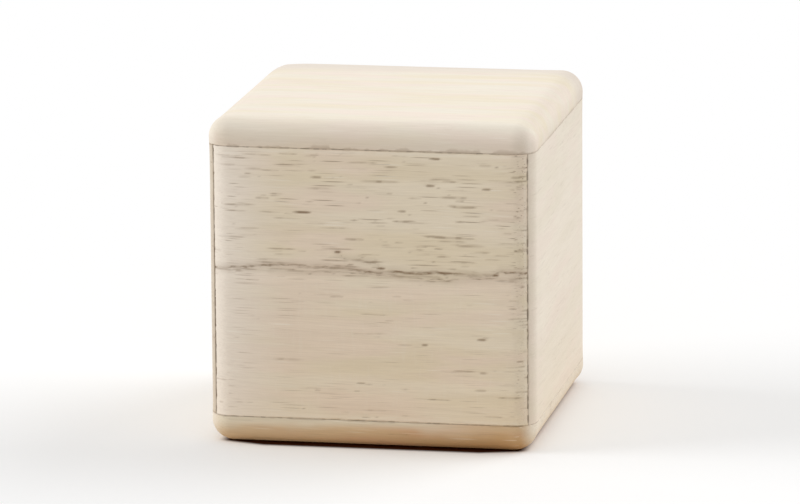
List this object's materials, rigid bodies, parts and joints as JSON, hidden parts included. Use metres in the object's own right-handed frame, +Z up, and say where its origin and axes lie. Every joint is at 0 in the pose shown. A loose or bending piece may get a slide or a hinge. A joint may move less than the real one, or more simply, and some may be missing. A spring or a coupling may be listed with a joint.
{
  "type": "wooden cube",
  "caption": "Hollow wooden cube with rounded edges and corners, glued up from mitred side boards closed by a flat top and bottom board.",
  "frame": {"origin": "middle of the base, on the surface that the cube stands on", "axes": "+Z up, -Y out of the front board, +X out of the right board"},
  "size_m": [0.05, 0.05, 0.05],
  "materials": {
    "end_board_pale": "sanded bare paulownia, pale cream, long grain",
    "end_board_warm": "sanded bare paulownia, warm tan",
    "side_board_front": "sanded bare paulownia, beige, with open pores and growth lines",
    "side_board_plain": "sanded bare paulownia, pale cream, fine straight grain"
  },
  "bodies": {
    "root": {"top_board": "end_board_pale", "bottom_board": "end_board_warm", "front_board": "side_board_front", "right_board": "side_board_plain", "back_board": "side_board_front", "left_board": "side_board_plain"}
  },
  "joints": []
}
